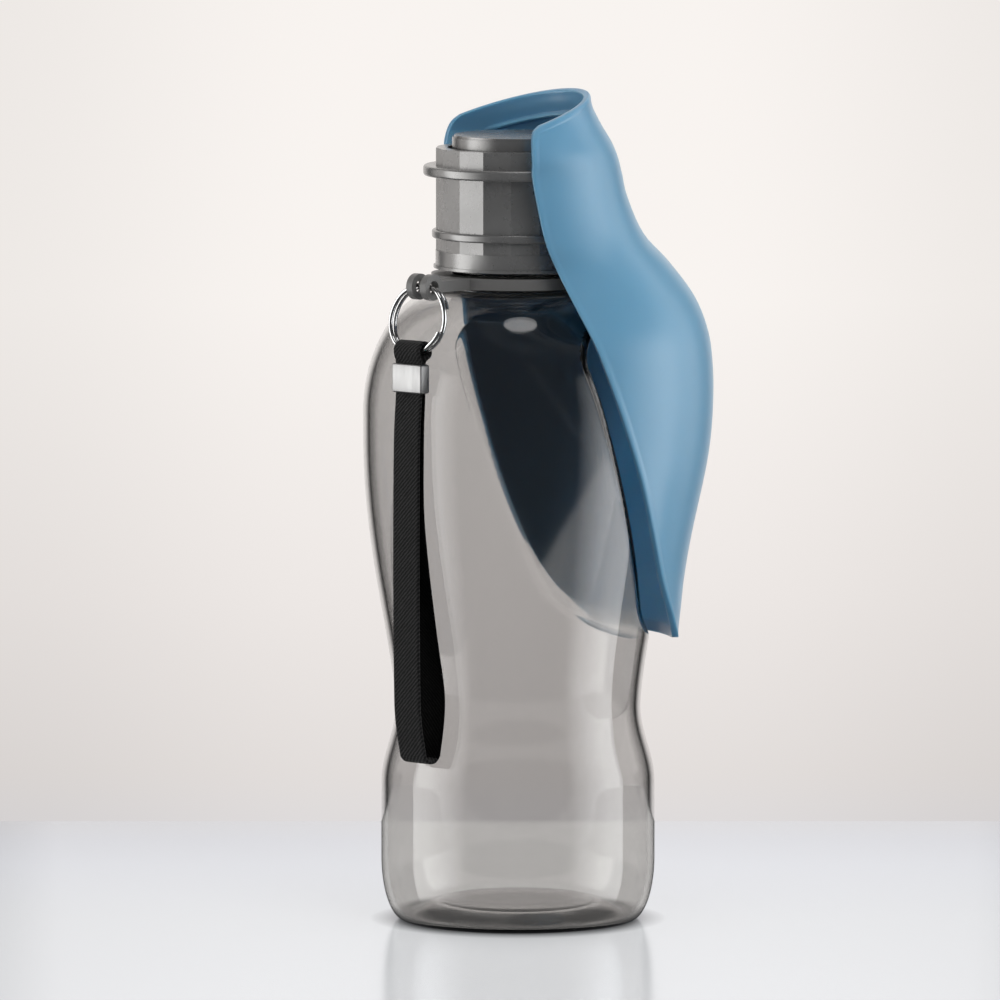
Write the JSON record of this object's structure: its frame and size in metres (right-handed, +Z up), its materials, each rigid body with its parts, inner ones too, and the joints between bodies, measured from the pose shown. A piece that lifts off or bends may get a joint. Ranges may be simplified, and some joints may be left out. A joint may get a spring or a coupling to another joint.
{
  "type": "pet travel water bottle",
  "caption": "Clear smoke-grey travel bottle for a dog with a faceted grey screw cap, a swing-out blue drinking trough, a split ring and a black wrist strap",
  "frame": {"origin": "centre of the foot that the bottle stands on", "axes": "+Z is up along the bottle, +X points to the back of the trough, +Y follows by the right-hand rule"},
  "size_m": [0.1047, 0.094, 0.24],
  "materials": {
    "clear_smoke": "clear smoke-tinted blow-moulded plastic, glossy",
    "grey_plastic": "grey moulded plastic with a soft sheen",
    "chrome_wire": "bright round wire",
    "black_webbing": "woven black webbing with a twill weave",
    "satin_metal": "satin pressed metal with bright edges",
    "cap_grey": "semi-gloss moulded plastic in flat facets",
    "white_plastic": "plain moulded plastic, inside",
    "white_silicone": "milky silicone, inside",
    "ring_grey": "semi-gloss moulded plastic, a little darker",
    "blue_silicone": "translucent blue, smooth and satin"
  },
  "bodies": {
    "bottle": {"bottle_foot": "clear_smoke", "bottle_waist": "clear_smoke", "bottle_body": "clear_smoke", "bottle_neck": "clear_smoke"},
    "collar": {"carry_collar": "grey_plastic"},
    "ring": {"split_ring": "chrome_wire"},
    "strap": {"wrist_strap": "black_webbing", "strap_clip": "satin_metal"},
    "cap": {"cap_shell": "cap_grey", "cap_liner": "white_plastic", "cap_gasket": "white_silicone", "deck_seal": "white_silicone", "hinge_ring": "ring_grey", "grip_ring": "ring_grey", "pivot_pin_near": "satin_metal", "pivot_pin_far": "satin_metal"},
    "dial": {"dial_disc": "ring_grey", "dial_stem": "grey_plastic", "dial_clip": "satin_metal", "dial_seal": "white_silicone"},
    "trough": {"trough_shell": "blue_silicone"}
  },
  "joints": [
    {"name": "cap_lift", "type": "slide", "parent": "bottle", "child": "cap", "axis": [0, 0, 1], "range_m": [0, 0.03]},
    {"name": "trough_swing", "type": "hinge", "parent": "cap", "child": "trough", "pos_m": [0, 0, 0.2172], "axis": [0, -1, 0], "range_deg": [0, 95]},
    {"name": "dial_turn", "type": "hinge", "parent": "cap", "child": "dial", "pos_m": [0, 0, 0.2237], "axis": [0, 0, 1], "range_deg": [0, 90]},
    {"name": "collar_turn", "type": "hinge", "parent": "bottle", "child": "collar", "pos_m": [0, 0, 0.1859], "axis": [0, 0, 1], "range_deg": [-40, 45]},
    {"name": "ring_swing", "type": "hinge", "parent": "collar", "child": "ring", "pos_m": [-0.03734, -0.01434, 0.1859], "axis": [-0.3584, 0.9336, 0], "range_deg": [0, 75]},
    {"name": "strap_swing", "type": "hinge", "parent": "ring", "child": "strap", "pos_m": [-0.042, -0.01612, 0.16799], "axis": [-0.3584, 0.9336, 0], "range_deg": [0, 80]}
  ]
}
